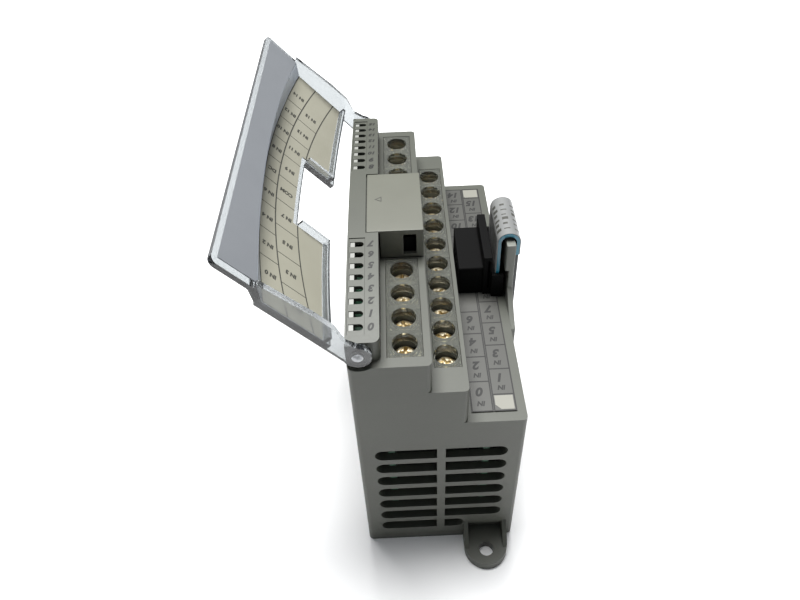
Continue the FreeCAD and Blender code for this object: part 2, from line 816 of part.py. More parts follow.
def cable_guide():
    side = width / 2
    y0, y1 = guide_y
    outline = [(y1, guide_top), (y0, guide_top), (y0, guide_shoulder_z),
               (y0 - guide_flare[0], guide_foot_z[0]),
               (y0 - guide_flare[1], guide_foot_z[1]), (y0 - guide_flare[1], guide_low), (y1, guide_low)]
    plate = prism_yz(outline, side + guide_fit, side + guide_t)
    head = box(side + guide_t - guide_head, side + guide_t, y0, y1, guide_neck_z, guide_top)
    whole = plate.fuse(head)
    window = box(side - 1, side + guide_t + 1, cable_y[0] - window_fit, cable_y[1] + window_fit,
                 cable_entry_z - cable_t / 2 - window_fit, cable_entry_z + cable_entry_r + window_rise)
    return whole.cut(window).removeSplitter()


def contact_places():
    mid_y = (plug_y[0] + plug_y[1]) / 2
    mid_z = (shelf_z + label_t + plug_top) / 2
    ys = [mid_y + (i - (plug_cols - 1) / 2) * plug_pitch for i in range(plug_cols)]
    return [(y, mid_z + dz) for y in ys for dz in (-plug_pitch / 2, plug_pitch / 2)]


def plug_body():
    z0 = shelf_z + label_t
    body = box(X(plug_x[0]), X(plug_x[1]), plug_y[0], plug_y[1], z0, plug_top)
    body = rounded(body, plug_r, lambda e: e.BoundBox.XLength > 1)
    half = contact_w / 2 + gap
    x1 = X(plug_x[0]) + contact_deep
    for y, z in contact_places():
        body = body.cut(box(X(plug_x[0]) - 1, x1, y - half, y + half, z - half, z + half))
    return body


def plug_contacts():
    half = contact_w / 2
    x0 = X(plug_x[0]) + contact_set
    x1 = X(plug_x[0]) + contact_deep
    return [box(x0, x1, y - half, y + half, z - half, z + half) for y, z in contact_places()]


def plug_cover():
    """The tall back of the plug, with a lower part that the cable is pressed against."""
    x0 = X(plug_x[1])
    z0 = shelf_z + label_t
    y0 = plug_y[0] - plug_cover_over
    y1 = plug_y[1] + plug_cover_over
    body = box(x0, X(plug_cover_x), y0, y1, z0, plug_cover_top)
    low = box(x0, X(cable_rise_x) - cable_t / 2 - gap / 2, y0, y1, z0, clip_top)
    notch = box(x0 + cover_notch[0], x0 + cover_notch[1], y0 - 1, y0 + plug_cover_over + cover_notch_in,
                z0 + cover_notch_z[0], plug_cover_top - cover_notch_z[1])
    return body.fuse(low).cut(notch).removeSplitter()


def plug_clip():
    """The strain relief bar behind the cable, with a leg round each edge of it."""
    x0 = X(cable_rise_x) + cable_t / 2 + gap / 2
    x1 = x0 + clip_t
    z0 = shelf_z + label_t
    bar = box(x0, x1, clip_y[0], clip_y[1], z0, clip_top)
    near_leg = box(X(plug_cover_x), x0, clip_y[0], plug_y[0] - plug_cover_over - gap, z0, clip_top)
    far_leg = box(X(plug_cover_x), x0, plug_y[1] + plug_cover_over + gap, clip_y[1], z0, clip_top)
    return fuse([bar, near_leg, far_leg])


def shelf_label():
    x0, x1 = [X(v) for v in label_x]
    reach = half_len - label_y_margin
    return box(x0, x1, -reach, reach, shelf_z, shelf_z + label_t)


# ---------------------------------------------------------------- boards inside
def circuit_board(x_left, top):
    reach = half_len - base_wall - board_end_gap
    return box(X(x_left), X(x_left) + board_t, -reach, reach, board_low, top)


def board_link():
    return box(X(logic_x) + board_t, X(input_x), -link_half, link_half, link_z[0], link_z[1])


def capacitors():
    x0 = X(logic_x) + board_t
    return [rod(capacitor_r, capacitor_h, V(x0, y, capacitor_z), V(1, 0, 0)) for y in capacitor_ys]


def controller_chips():
    x0 = X(logic_x) + board_t
    return [box(x0, x0 + chip_t, y - chip_half, y + chip_half, chip_z[0], chip_z[1])
            for y in (chip_near_y, half_len - chip_end_room)]


def optocouplers():
    x1 = X(input_x)
    wide, tall = coupler_half
    columns = [(i - (coupler_cols - 1) / 2) * coupler_pitch for i in range(coupler_cols)]
    return [box(x1 - coupler_t, x1, y - wide, y + wide, z - tall, z + tall)
            for z in coupler_rows for y in columns]


def build():
    save("rear_case", rear_case())
    save("front_case", front_case())
    groups = (("near_upper", near_upper, upper_well, upper_screw_x, rim_z),
              ("far_upper", far_upper, upper_well, upper_screw_x, rim_z),
              ("lower", lower_ys, lower_well, lower_screw_x, step_z))
    for name, ys, well, screw_x, top in groups:
        save(name + "_terminal_base", terminal_base(ys, well, screw_x, top))
        save(name + "_guard", terminal_guard(ys, well, screw_x, top))
        save(name + "_terminal_board", terminal_board(ys, well, top))
        save(name + "_tabs", Part.makeCompound([terminal_tab(y, well, screw_x, top) for y in ys]))
        save(name + "_clamp_plates", Part.makeCompound([clamp_plate(y, well, screw_x, top) for y in ys]))
        save(name + "_screws", Part.makeCompound([terminal_screw(y, screw_x, top) for y in ys]))
    for name, ys in (("near", near_leds), ("far", far_leds)):
        save(name + "_light_panel", light_panel(ys))
        save(name + "_light_pipes", Part.makeCompound([light_pipe(y) for y in ys]))
    save("status_leds", Part.makeCompound([status_led(y) for y in near_leds + far_leds]))
    save("light_board", light_board())
    save("port_cover", port_cover())
    save("port_shroud", port_shroud())
    save("port_pins", Part.makeCompound(port_pins()))
    save("door_shell", hinge_turn(door_shell()))
    save("door_card", hinge_turn(door_card()))
    save("door_fascia", hinge_turn(door_fascia()))
    save("hinge_pins", Part.makeCompound(hinge_pins()))
    save("rail_latch", rail_latch())
    save("latch_spring", latch_spring())
    save("ribbon_cable", ribbon_cable())
    save("cable_film", cable_film())
    save("cable_guide", cable_guide())
    save("plug_body", plug_body())
    save("plug_contacts", Part.makeCompound(plug_contacts()))
    save("plug_cover", plug_cover())
    save("plug_clip", plug_clip())
    save("shelf_label", shelf_label())
    save("logic_board", circuit_board(logic_x, logic_top))
    save("input_board", circuit_board(input_x, input_top))
    save("board_link", board_link())
    save("capacitors", Part.makeCompound(capacitors()))
    save("controller_chips", Part.makeCompound(controller_chips()))
    save("optocouplers", Part.makeCompound(optocouplers()))


build()
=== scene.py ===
# %% [markdown]
# # An input module for a DIN rail, dressed for its picture
# The solids of this module come from a CAD model, with their sizes, places and joints. This lesson adds what
# CAD leaves out: rounded edges, the grain of moulded plastic, printed film, screws with a worn recess, and a
# flat cable. Everything is in metres, in the CAD model's own frame: X goes towards the cable side, Y along
# the case, Z up from the rail.

# %% Load the frame and keep its box
import json
import math
import random

import bmesh
import bpy
from mathutils import Matrix, Vector


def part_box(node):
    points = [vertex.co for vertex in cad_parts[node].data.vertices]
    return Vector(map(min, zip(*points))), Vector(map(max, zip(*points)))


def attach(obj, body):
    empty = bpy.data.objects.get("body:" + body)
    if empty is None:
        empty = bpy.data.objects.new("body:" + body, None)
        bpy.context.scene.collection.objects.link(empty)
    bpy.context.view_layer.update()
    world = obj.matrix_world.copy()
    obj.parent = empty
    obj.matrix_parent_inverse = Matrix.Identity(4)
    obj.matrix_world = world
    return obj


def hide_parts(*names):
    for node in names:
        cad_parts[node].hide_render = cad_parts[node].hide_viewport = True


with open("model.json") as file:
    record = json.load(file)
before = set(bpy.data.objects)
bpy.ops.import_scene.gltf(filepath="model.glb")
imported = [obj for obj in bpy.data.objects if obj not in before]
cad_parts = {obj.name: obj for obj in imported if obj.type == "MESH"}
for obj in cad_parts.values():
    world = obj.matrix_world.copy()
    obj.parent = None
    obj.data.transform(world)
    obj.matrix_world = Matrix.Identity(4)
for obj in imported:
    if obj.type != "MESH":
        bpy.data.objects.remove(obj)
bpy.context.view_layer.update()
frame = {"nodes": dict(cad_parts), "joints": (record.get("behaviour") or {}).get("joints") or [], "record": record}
mm = 0.001
draw = random.Random(11)

# %% [markdown]
# ## Colour and nodes
# Colours are written as sRGB hex, the way a paint or a screen names them. Blender mixes light in linear
# values, so one function turns the first into the second. A second small function adds a node to a material,
# with its settings, its input values and its links, so that a material reads from top to bottom.


# %% Colours and node helper
def colour(hex_code, alpha=1.0):
    parts = [int(hex_code[i:i + 2], 16) / 255 for i in (1, 3, 5)]
    linear = [p / 12.92 if p <= 0.04045 else ((p + 0.055) / 1.055) ** 2.4 for p in parts]
    return (*linear, alpha)


def add(material, kind, values=None, links=None, **settings):
    made = material.node_tree.nodes.new(kind)
    for name, value in settings.items():
        setattr(made, name, value)
    for name, value in (values or {}).items():
        made.inputs[name].default_value = value
    for name, socket in (links or {}).items():
        material.node_tree.links.new(socket, made.inputs[name])
    return made


def start_material(name, **values):
    """A material with one Principled shader, its sockets set by name."""
    material = bpy.data.materials.new(name)
    material.use_nodes = True
    shader = material.node_tree.nodes["Principled BSDF"]
    for key, value in values.items():
        shader.inputs[key.replace("_", " ")].default_value = value
    return material, shader


print("black in linear:", colour("#191919")[:3])

# %% [markdown]
# ## Moulded ABS
# The case, the port cover and the cable guide are ABS, moulded in a spark-eroded tool. That leaves a fine
# matt grain of about a third of a millimetre, and a colour that is never quite even, because the plastic
# yellows a little and picks up dust. A noise gives the grain to the bump, a slow noise tints the colour, and
# ambient occlusion mixes that second colour into the corners, as painted shade and dust.


# %% Moulded plastic
def grained_plastic(name, base, dust_and_shade, grain_mm, rough, bump_mm=0.012, shade_and_dust_reach_mm=1.6):
    material, shader = start_material(name, IOR=1.53)
    place = add(material, "ShaderNodeTexCoord").outputs["Object"]
    grain = add(material, "ShaderNodeTexNoise", {"Scale": 1 / (grain_mm * mm), "Detail": 3.0}, {"Vector": place})
    slow = add(material, "ShaderNodeTexNoise", {"Scale": 1 / (14 * mm), "Detail": 2.0}, {"Vector": place})
    tint = add(material, "ShaderNodeMix", {"A": colour(base), "B": colour(dust_and_shade)}, data_type="RGBA")
    share = add(material, "ShaderNodeMapRange", {"From Min": 0.35, "From Max": 0.75, "To Max": 0.16},
                {"Value": slow.outputs["Fac"]})
    # Ambient occlusion paints shade into corners and recesses, in the same colour as the dust tint.
    corner_occlusion = add(material, "ShaderNodeAmbientOcclusion", {"Distance": shade_and_dust_reach_mm * mm}, samples=4)
    corner_shade_and_dust = add(material, "ShaderNodeMapRange", {"From Min": 0.75, "From Max": 0.15, "To Max": 0.55},
                {"Value": corner_occlusion.outputs["AO"]})
    both = add(material, "ShaderNodeMath", None, {0: share.outputs["Result"], 1: corner_shade_and_dust.outputs["Result"]},
               operation="MAXIMUM")
    material.node_tree.links.new(both.outputs[0], tint.inputs["Factor"])
    material.node_tree.links.new(tint.outputs[2], shader.inputs["Base Color"])
    polish = add(material, "ShaderNodeMapRange", {"To Min": rough - 0.07, "To Max": rough + 0.07},
                 {"Value": grain.outputs["Fac"]})
    material.node_tree.links.new(polish.outputs["Result"], shader.inputs["Roughness"])
    bump = add(material, "ShaderNodeBump", {"Strength": 0.6, "Distance": bump_mm * mm},
               {"Height": grain.outputs["Fac"]})
    material.node_tree.links.new(bump.outputs["Normal"], shader.inputs["Normal"])
    return material


case_abs = grained_plastic("grey_moulded_abs", "#4b4d45", "#2f2e29", 0.32, 0.52)
cover_abs = grained_plastic("cover_moulded_abs", "#5f6056", "#3f3f38", 0.32, 0.5)
terminal_nylon = grained_plastic("terminal_moulded_nylon", "#7d7e75", "#46453d", 0.25, 0.45)
black_nylon = grained_plastic("black_glass_filled_nylon", "#040404", "#090908", 0.22, 0.75, 0.01)
black_nylon.node_tree.nodes["Principled BSDF"].inputs["Specular IOR Level"].default_value = 0.12
# The guide's grey is a lighter copy of the case's ABS: painted light, so the guide does not look shaded.
guide_abs_painted_light = grained_plastic("guide_abs_painted_lighter", "#74766f", "#4b4a44", 0.32, 0.5)
latch_acetal = grained_plastic("latch_black_acetal", "#202122", "#35342f", 0.3, 0.35, 0.006)
print("moulded plastics:", len(bpy.data.materials))

# %% [markdown]
# ## Clear polycarbonate
# The door and the strips over the screws are clear polycarbonate with a slightly smoky tint. It bends light
# more than acrylic (IOR 1.58), so its edges glow pale and its walls show as grey lines. Fine handling
# scratches and a soft waviness from the mould keep it from looking like optical glass. The guards and the
# light pipes have a matt mould face, so only a share of the light goes straight through them.


# %% Clear plastic
def clear_plastic(name, tint, rough, wave_mm, clear=1.0):
    material, shader = start_material(name, IOR=1.58, Base_Color=colour(tint), Roughness=rough)
    shader.inputs["Transmission Weight"].default_value = clear
    place = add(material, "ShaderNodeTexCoord").outputs["Object"]
    wave = add(material, "ShaderNodeTexNoise", {"Scale": 1 / (wave_mm * mm), "Detail": 2.0}, {"Vector": place})
    scratch = add(material, "ShaderNodeTexNoise", {"Scale": 1 / (0.9 * mm), "Detail": 4.0, "Distortion": 2.5},
                  {"Vector": place})
    worn = add(material, "ShaderNodeMapRange",
               {"From Min": 0.5, "From Max": 0.72, "To Min": rough, "To Max": rough + 0.08},
               {"Value": scratch.outputs["Fac"]})
    material.node_tree.links.new(worn.outputs["Result"], shader.inputs["Roughness"])
    bump = add(material, "ShaderNodeBump", {"Strength": 0.25, "Distance": 0.05 * mm},
               {"Height": wave.outputs["Fac"]})
    material.node_tree.links.new(bump.outputs["Normal"], shader.inputs["Normal"])
    return material


door_clear = clear_plastic("clear_polycarbonate_door", "#b0b4b6", 0.14, 6.0)
guard_clear = clear_plastic("clear_polycarbonate_guard", "#b4b6ad", 0.07, 2.2, 0.84)
pipe_clear = clear_plastic("frosted_acrylic_light_pipe", "#a6a7a1", 0.5, 1.0, 0.35)

# %% [markdown]
# ## Metal
# Terminal screws and clamp plates are steel with a bright nickel plate that is warm from the brass under it
# and from handling. The plate is turned or stamped, so its roughness runs in fine streaks. The contact
# tabs and pins are plain brass. A metal keeps Blender's default IOR, because its colour sets its reflection.


# %% Metals
def plated_metal(name, bright, worn, rough, streak_mm):
    material, shader = start_material(name, Metallic=1.0)
    place = add(material, "ShaderNodeTexCoord").outputs["Object"]
    streak = add(material, "ShaderNodeTexNoise", {"Scale": 1 / (streak_mm * mm), "Detail": 5.0}, {"Vector": place})
    blotch = add(material, "ShaderNodeTexNoise", {"Scale": 1 / (1.4 * mm), "Detail": 3.0}, {"Vector": place})
    mixed = add(material, "ShaderNodeMix", {"A": colour(bright), "B": colour(worn)}, data_type="RGBA")
    share = add(material, "ShaderNodeMapRange", {"From Min": 0.42, "From Max": 0.62},
                {"Value": blotch.outputs["Fac"]})
    material.node_tree.links.new(share.outputs["Result"], mixed.inputs["Factor"])
    material.node_tree.links.new(mixed.outputs[2], shader.inputs["Base Color"])
    polish = add(material, "ShaderNodeMapRange", {"To Min": rough - 0.08, "To Max": rough + 0.12},
                 {"Value": streak.outputs["Fac"]})
    material.node_tree.links.new(polish.outputs["Result"], shader.inputs["Roughness"])
    bump = add(material, "ShaderNodeBump", {"Strength": 0.35, "Distance": 0.02 * mm},
               {"Height": streak.outputs["Fac"]})
    material.node_tree.links.new(bump.outputs["Normal"], shader.inputs["Normal"])
    return material


screw_nickel = plated_metal("nickel_plated_screw", "#d9cfb4", "#a58f60", 0.42, 0.18)
clamp_nickel = plated_metal("nickel_plated_clamp", "#c9c4b5", "#8d8265", 0.32, 0.25)
contact_brass = plated_metal("stamped_brass", "#cbb271", "#957a41", 0.3, 0.25)
spring_steel = plated_metal("zinc_plated_spring_steel", "#a4a6a8", "#6e7072", 0.38, 0.15)

# %% [markdown]
# ## Printed film and card
# The label, the card in the door and the film on the flat cable are polyester, screen printed. The surface
# is satin with a very faint orange peel. The ink is a second layer, a few hundredths of a millimetre thick,
# so it is modelled as its own thin pieces, which stay sharp from any distance.


# %% Films and inks
def printed_film(name, base, cloudy, rough, varnish=0.0):
    material, shader = start_material(name, IOR=1.5, Roughness=rough)
    place = add(material, "ShaderNodeTexCoord").outputs["Object"]
    peel = add(material, "ShaderNodeTexNoise", {"Scale": 1 / (0.8 * mm), "Detail": 2.0}, {"Vector": place})
    cloud = add(material, "ShaderNodeTexNoise", {"Scale": 1 / (9 * mm), "Detail": 3.0}, {"Vector": place})
    mixed = add(material, "ShaderNodeMix", {"A": colour(base), "B": colour(cloudy)}, data_type="RGBA")
    share = add(material, "ShaderNodeMapRange", {"From Min": 0.4, "From Max": 0.8, "To Max": 0.5},
                {"Value": cloud.outputs["Fac"]})
    material.node_tree.links.new(share.outputs["Result"], mixed.inputs["Factor"])
    material.node_tree.links.new(mixed.outputs[2], shader.inputs["Base Color"])
    bump = add(material, "ShaderNodeBump", {"Strength": 0.2, "Distance": 0.02 * mm},
               {"Height": peel.outputs["Fac"]})
    material.node_tree.links.new(bump.outputs["Normal"], shader.inputs["Normal"])
    shader.inputs["Coat Weight"].default_value = varnish
    return material


label_grey = printed_film("grey_printed_label", "#454541", "#3e3e3a", 0.5)
label_white = printed_film("white_printed_label", "#85847b", "#7c7b72", 0.5)
card_beige = printed_film("beige_printed_card", "#969486", "#8d8b7c", 0.55)
film_grey = printed_film("grey_printed_film", "#777a7e", "#6f7276", 0.45, 0.3)
band_blue = printed_film("blue_grey_printed_band", "#98a0ac", "#8f97a3", 0.4, 0.3)
film_pale = printed_film("pale_polyester_film", "#828382", "#767776", 0.35, 0.3)
film_teal = printed_film("teal_polyimide_film", "#0d7c96", "#0b6880", 0.28, 0.5)
# The lead's jacket colour is painted shade: near black where the lead drops beside the guide.
lead_painted_shade = printed_film("lead_jacket_painted_shade", "#10181b", "#172024", 0.4, 0.2)
ink_black = printed_film("black_screen_ink", "#161614", "#1f1f1c", 0.6)
ink_grey = printed_film("grey_screen_ink", "#3d3d38", "#464640", 0.6)
solder_mask = printed_film("green_solder_mask", "#1f4a33", "#2a5b3f", 0.35, 0.4)
chip_epoxy = grained_plastic("black_epoxy_chip", "#222222", "#3a3a37", 0.2, 0.6, 0.008)
sleeve_pvc = printed_film("dark_pvc_sleeve", "#23262b", "#2c3036", 0.35, 0.3)
print("materials:", len(bpy.data.materials))

# %% [markdown]
# ## Rounded edges
# A moulded or stamped edge is never sharp: it has a radius of a tenth to a third of a millimetre that
# catches a thin line of light. The CAD solids have sharp edges, so most pieces that show are copied, their
# flat faces are joined again from their triangles, and every hard edge gets a small bevel. Weighted normals
# then keep the flat faces flat. The copy stands for the CAD node, whose own mesh stays as it was.


# %% Copy a CAD piece with rounded edges
def shade(piece, angle_deg=32):
    mesh = piece.data
    sharp = math.radians(angle_deg)
    grid = bmesh.new()
    grid.from_mesh(mesh)
    for face in grid.faces:
        face.smooth = True
    for edge in grid.edges:
        if len(edge.link_faces) == 2 and edge.calc_face_angle(0) > sharp:
            edge.smooth = False
    grid.to_mesh(mesh)
    grid.free()
    return piece


def new_piece(name, grid, material, body="root"):
    """Turn a bmesh into an object with its finish, and let it ride on its body."""
    mesh = bpy.data.meshes.new(name)
    bmesh.ops.recalc_face_normals(grid, faces=grid.faces)
    grid.to_mesh(mesh)
    grid.free()
    piece = bpy.data.objects.new(name, mesh)
    bpy.context.scene.collection.objects.link(piece)
    mesh.materials.append(material)
    shade(piece)
    flatten = piece.modifiers.new("flat_faces_stay_flat", "WEIGHTED_NORMAL")
    flatten.keep_sharp = True
    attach(piece, body)
    return piece


def clean_copy(node):
    """The node's mesh with its triangles joined back into flat faces."""
    grid = bmesh.new()
    grid.from_mesh(frame["nodes"][node].data)
    bmesh.ops.remove_doubles(grid, verts=grid.verts, dist=0.002 * mm)
    bmesh.ops.dissolve_limit(grid, angle_limit=math.radians(0.6), verts=grid.verts, edges=grid.edges)
    return grid


def node_facts():
    bodies = frame["record"]["behaviour"]["bodies"]
    body_of = {node: body for body, nodes in bodies.items() for node in nodes}
    slot_of = {row["node"]: row["material_slot"] for row in frame["record"]["subparts"]}
    return body_of, slot_of


body_of, slot_of = node_facts()


def rounded_copy(node, material, radius_mm, segments=2, crease_deg=28):
    grid = clean_copy(node)
    crease = math.radians(crease_deg)
    hard = [e for e in grid.edges if len(e.link_faces) == 2 and e.calc_face_angle(0) > crease]
    bmesh.ops.bevel(grid, geom=hard, offset=radius_mm * mm, offset_type="OFFSET", segments=segments,
                    profile=0.5, affect="EDGES", clamp_overlap=True)
    piece = new_piece(node + "_piece", grid, material, body_of[node])
    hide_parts(node)
    return piece


def dress(node, material):
    """A CAD piece whose shape is right keeps its mesh and gets a finish."""
    shown = frame["nodes"][node]
    shown.data.materials.clear()
    shown.data.materials.append(material)


def islands(node):
    """The box of each separate solid in a node, sorted along Y."""
    grid = clean_copy(node)
    left = set(grid.verts)
    boxes = []
    while left:
        stack = [left.pop()]
        found = []
        while stack:
            vert = stack.pop()
            found.append(vert.co.copy())
            for edge in vert.link_edges:
                other = edge.other_vert(vert)
                if other in left:
                    left.remove(other)
                    stack.append(other)
        low = Vector([min(v[i] for v in found) for i in range(3)])
        high = Vector([max(v[i] for v in found) for i in range(3)])
        boxes.append((low, high))
    grid.free()
    return sorted(boxes, key=lambda b: b[0].y)


rounded = {}
for node, material, radius in (
        ("rear_case", case_abs, 0.25), ("front_case", case_abs, 0.25), ("port_cover", cover_abs, 0.3),
        ("cable_guide", guide_abs_painted_light, 0.3), ("plug_body", black_nylon, 0.15), ("plug_cover", black_nylon, 0.15),
        ("plug_clip", black_nylon, 0.12), ("near_light_panel", case_abs, 0.08), ("far_light_panel", case_abs, 0.08),
        ("rail_latch", latch_acetal, 0.2),
        ("near_upper_terminal_base", terminal_nylon, 0.12), ("far_upper_terminal_base", terminal_nylon, 0.12),
        ("lower_terminal_base", terminal_nylon, 0.12), ("port_shroud", black_nylon, 0.12)):
    rounded[node] = rounded_copy(node, material, radius)
print("rounded pieces:", {n: len(p.data.polygons) for n, p in rounded.items()})

# %% [markdown]
# ## Pieces that keep their CAD shape
# Stamped tabs, pins, boards and light pipes are plain shapes on the real module too, and the guards are thin
# plates whose holes need their exact edges. They keep their CAD mesh and get the finish of their material.

# %% Finishes on CAD pieces
kept_finish = {
    "near_upper_guard": guard_clear, "far_upper_guard": guard_clear, "lower_guard": guard_clear,
    "near_upper_tabs": contact_brass, "far_upper_tabs": contact_brass, "lower_tabs": contact_brass,
    "near_upper_clamp_plates": clamp_nickel, "far_upper_clamp_plates": clamp_nickel,
    "lower_clamp_plates": clamp_nickel, "port_pins": contact_brass, "plug_contacts": contact_brass,
    "near_light_pipes": pipe_clear, "far_light_pipes": pipe_clear, "status_leds": label_white,
    "light_board": solder_mask, "logic_board": solder_mask, "input_board": solder_mask,
    "near_upper_terminal_board": solder_mask, "far_upper_terminal_board": solder_mask,
    "lower_terminal_board": solder_mask, "board_link": black_nylon, "capacitors": sleeve_pvc,
    "controller_chips": chip_epoxy, "optocouplers": chip_epoxy, "hinge_pins": spring_steel,
    "latch_spring": spring_steel}
for node, material in kept_finish.items():
    dress(node, material)
print("CAD pieces with a new finish:", len(kept_finish))

# %% [markdown]
# ## The door's own frame
# The door is easiest to think of shut: s runs from the hinge across its face, y along the case, and t up from
# the hinge. At rest it stands open, so one matrix turns what is drawn shut to where it stands. The angle and
# the hinge's place come from the joint in the CAD record.

# %% Turn from shut to open
hinge = next(j for j in frame["joints"] if j["name"] == "door_hinge")
hinge_at = Vector(hinge["pos_m"])
door_turn = Matrix.Translation(hinge_at) @ Matrix.Rotation(math.radians(hinge["range_deg"][1]), 4, (0, -1, 0))
case_low, case_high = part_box("front_case")
half_length = case_high.y
face_top = case_high.z
face_bow = 3.1 * mm
bow_radius = (half_length ** 2 + face_bow ** 2) / (2 * face_bow)


def face_height(y):
    """The height of the bowed front face at a place along the case."""
    return face_top - bow_radius + math.sqrt(bow_radius ** 2 - y * y)


def face_tilt(y):
    return -math.asin(y / bow_radius)


door_shell = rounded_copy("door_shell", door_clear, 0.22)
print("door stands open at", hinge["range_deg"][1], "degrees; faces:", len(door_shell.data.polygons))

# %% [markdown]
# ## Films inside the door
# Behind the clear face lies a beige card with arcs and cell lines, then a blue-grey band on the ramp, and then
# a grey film from the foot of the ramp to the free edge. Each is a thin sheet that follows the inside of the
# face, so each is a grid of points on that surface, given a thickness.

# %% Sheets that follow the inside of the door
door_wall = 1.3 * mm
film_gap = 0.05 * mm
film_thick = 0.2 * mm
fold_ends, fold_middle = 24.8 * mm, 28.4 * mm
ramp_before, ramp_after = 0.65 * mm, 2.7 * mm
lip_under = -0.9 * mm
end_room = 1.65 * mm
wing = half_length - end_room
notch_y = 13.2 * mm
notch_s = 17.8 * mm
card_s = 8.55 * mm
grey_s = 37.0 * mm


def arc_line(at_ends, at_middle):
    """A line across the door that bulges in the middle of its length."""
    return lambda y: at_middle + (at_ends - at_middle) * (y / half_length) ** 2


fold = arc_line(fold_ends, fold_middle)


def inside_of_door(s, y):
    """How far the inner surface of the door lies above the hinge."""
    face = face_height(y) - hinge_at.z - door_wall
    start = fold(y) - ramp_before
    if s <= start:
        return face
    share = min((s - start) / (ramp_before + ramp_after), 1.0)
    return face + (lip_under - face) * share


def door_sheet(name, s_from, s_to, y_from, y_to, material, depth, thick=film_thick, columns=14):
    rows = 48
    grid = bmesh.new()
    layers = []
    for below in (depth, depth + thick):
        layer = []
        for i in range(rows + 1):
            y = y_from + (y_to - y_from) * i / rows
            line = []
            for j in range(columns + 1):
                s = s_from(y) + (s_to(y) - s_from(y)) * j / columns
                line.append(grid.verts.new(door_turn @ Vector((s, y, inside_of_door(s, y) - below))))
            layer.append(line)
        layers.append(layer)
    close_layers(grid, layers, rows, columns)
    return new_piece(name, grid, material, "door")


def close_layers(grid, layers, rows, columns):
    """Faces over and under two layers of points, and round their border."""
    top, low = layers
    for i in range(rows):
        for j in range(columns):
            grid.faces.new((top[i][j], top[i][j + 1], top[i + 1][j + 1], top[i + 1][j]))
            grid.faces.new((low[i][j], low[i + 1][j], low[i + 1][j + 1], low[i][j + 1]))
    for i in range(rows):
        grid.faces.new((top[i][0], top[i + 1][0], low[i + 1][0], low[i][0]))
        grid.faces.new((top[i][columns], low[i][columns], low[i + 1][columns], top[i + 1][columns]))
    for j in range(columns):
        grid.faces.new((top[0][j], low[0][j], low[0][j + 1], top[0][j + 1]))
        grid.faces.new((top[rows][j], top[rows][j + 1], low[rows][j + 1], low[rows][j]))


def flat_line(s):
    return lambda y: s


card_edge = arc_line(24.1 * mm, 27.7 * mm)
first_arc = arc_line(17.6 * mm, 23.6 * mm)
second_arc = arc_line(10.6 * mm, 17.0 * mm)


def beside(line, offset_mm):
    return lambda y: line(y) + offset_mm * mm


for name, start_s, y_from, y_to in (("near", card_s, -wing, -notch_y), ("middle", notch_s, -notch_y, notch_y),
                                    ("far", card_s, notch_y, wing)):
    card_part = door_sheet("door_card_" + name, flat_line(start_s), card_edge, y_from, y_to, card_beige, film_gap)
    if name == "middle":
        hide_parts("door_card")
door_sheet("door_band", beside(card_edge, 0.2), beside(card_edge, 3.4), -wing, wing, band_blue, film_gap)
grey_part = door_sheet("door_grey_film", beside(card_edge, 3.5), flat_line(grey_s), -wing, wing, film_grey,
                       film_gap, columns=40)
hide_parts("door_fascia")
ink_depth = film_gap + film_thick
ink_thick = 0.03 * mm
line_w = 0.16
for name, line in (("card_edge", card_edge), ("first_arc", first_arc)):
    door_sheet(name + "_ink", beside(line, -line_w), beside(line, line_w), -wing, wing, ink_grey, ink_depth,
               ink_thick, 2)
for name, start, stop in (("near", -wing, -notch_y), ("far", notch_y, wing)):
    door_sheet("second_arc_ink_" + name, beside(second_arc, -line_w), beside(second_arc, line_w), start, stop,
               ink_grey, ink_depth, ink_thick, 2)

# %% [markdown]
# ## Printed characters
# The channel numbers and the letters before them are plain figures from Blender's own font. A text object
# gives the outlines, and its mesh is what stays, a few hundredths of a millimetre thick like real ink. The
# printing reads from the far end of the case, so each one is turned by half a turn.


# %% Words as thin ink
def word_mesh(word, height_mm, lean):
    text = bpy.data.curves.new("word", "FONT")
    text.body = word
    text.size = height_mm * mm / 0.7
    text.shear = lean
    text.extrude = ink_thick / 2
    text.offset = 0.045 * text.size
    text.align_x = "CENTER"
    text.align_y = "CENTER"
    text.resolution_u = 4
    holder = bpy.data.objects.new("word", text)
    bpy.context.scene.collection.objects.link(holder)
    bpy.context.view_layer.update()
    mesh = bpy.data.meshes.new_from_object(holder)
    bpy.data.objects.remove(holder)
    return mesh


def print_words(name, words, material, body, lean=0.22):
    """words is a list of (text, height in mm, matrix)."""
    grid = bmesh.new()
    for word, height_mm, place in words:
        mesh = word_mesh(word, height_mm, lean)
        mesh.transform(place)
        grid.from_mesh(mesh)
        bpy.data.meshes.remove(mesh)
    bmesh.ops.remove_doubles(grid, verts=grid.verts, dist=0.001 * mm)
    return new_piece(name, grid, material, body)


half_turn = Matrix.Rotation(math.pi, 4, "Z")
digit_x = case_low.x + 5.75 * mm
digit_places = []
for group, first in (("near_light_pipes", 0), ("far_light_pipes", 8)):
    for count, (low, high) in enumerate(islands(group)):
        y = (low.y + high.y) / 2
        spot = Matrix.Translation((digit_x, y, face_height(y) + ink_thick / 2))
        place = spot @ Matrix.Rotation(face_tilt(y), 4, "X")
        size = 1.75 if first + count < 10 else 1.35
        digit_places.append((str(first + count), size, place @ half_turn))
print_words("channel_numbers", digit_places, ink_black, "root")
print("channel numbers:", len(digit_places))

# %% Words on the door card
read_from_inside = Matrix.Rotation(math.pi, 4, "X")


def on_door(s, y):
    """A place for a word on the inner face of the card."""
    t = inside_of_door(s, y) - ink_depth - ink_thick
    return door_turn @ Matrix.Translation((s, y, t)) @ Matrix.Rotation(face_tilt(y), 4, "X") @ read_from_inside


def cell_start(y):
    """Where the inner row of cells starts: at the second arc, or at the notch where that is further out."""
    return max(second_arc(y), notch_s if abs(y) < notch_y else 0)


